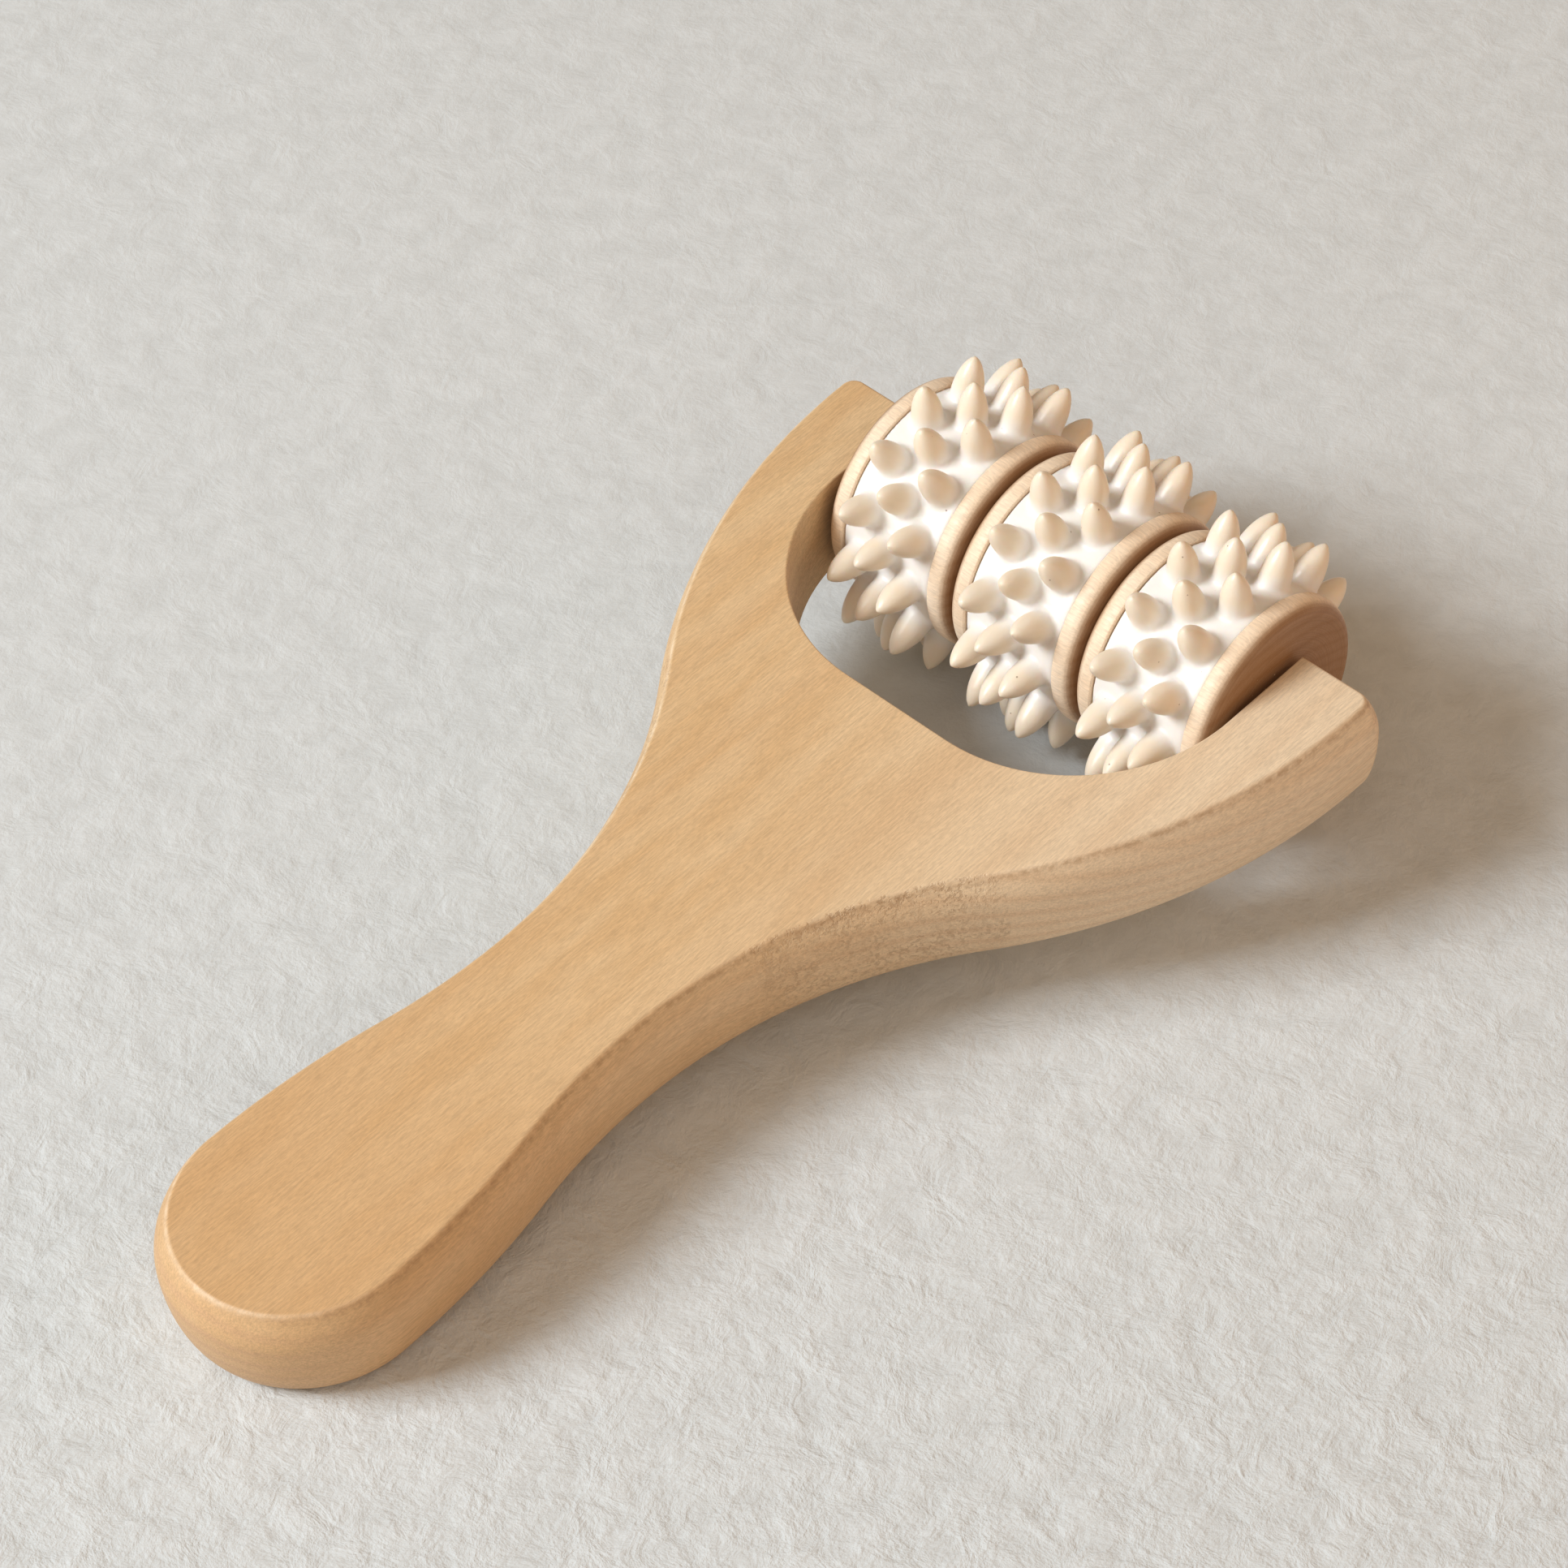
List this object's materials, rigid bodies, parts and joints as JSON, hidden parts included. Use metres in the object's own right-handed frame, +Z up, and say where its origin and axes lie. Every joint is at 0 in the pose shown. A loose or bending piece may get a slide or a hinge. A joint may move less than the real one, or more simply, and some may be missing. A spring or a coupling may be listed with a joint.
{
  "type": "foot massage roller",
  "caption": "Forked wooden handle carrying free-turning spools on one axle, each wrapped in a cream elastic band of soft spikes.",
  "frame": {"origin": "middle of the bounding box at the surface that the part lies on", "axes": "+X along the handle towards the rollers, +Y along the axle towards the left arm, +Z up; the part lies tilted, on its butt and its lowest spikes"},
  "size_m": [0.2323, 0.122, 0.056],
  "materials": {
    "handle_wood": "pale honey hardwood, fine straight grain, sanded, thin clear oil",
    "plug_wood": "end-grain hardwood plug, sanded flush",
    "spool_wood": "turned pale hardwood, smooth rims, end-grain faces",
    "band_elastomer": "cream elastomer, satin, slightly translucent",
    "axle_steel": "drawn steel rod"
  },
  "bodies": {
    "handle": {"handle_yoke": "handle_wood", "axle_rod": "axle_steel", "axle_plug": "plug_wood"},
    "left_roller": {"left_spool": "spool_wood", "left_spike_band": "band_elastomer"},
    "middle_roller": {"middle_spool": "spool_wood", "middle_spike_band": "band_elastomer"},
    "right_roller": {"right_spool": "spool_wood", "right_spike_band": "band_elastomer"}
  },
  "joints": [
    {"name": "left_roller_spin", "type": "hinge", "parent": "handle", "child": "left_roller", "pos_m": [0.08798, 0.02845, 0.028], "axis": [0, 1, 0], "continuous": true},
    {"name": "middle_roller_spin", "type": "hinge", "parent": "handle", "child": "middle_roller", "pos_m": [0.08798, 0, 0.028], "axis": [0, 1, 0], "continuous": true},
    {"name": "right_roller_spin", "type": "hinge", "parent": "handle", "child": "right_roller", "pos_m": [0.08798, -0.02845, 0.028], "axis": [0, 1, 0], "continuous": true}
  ]
}
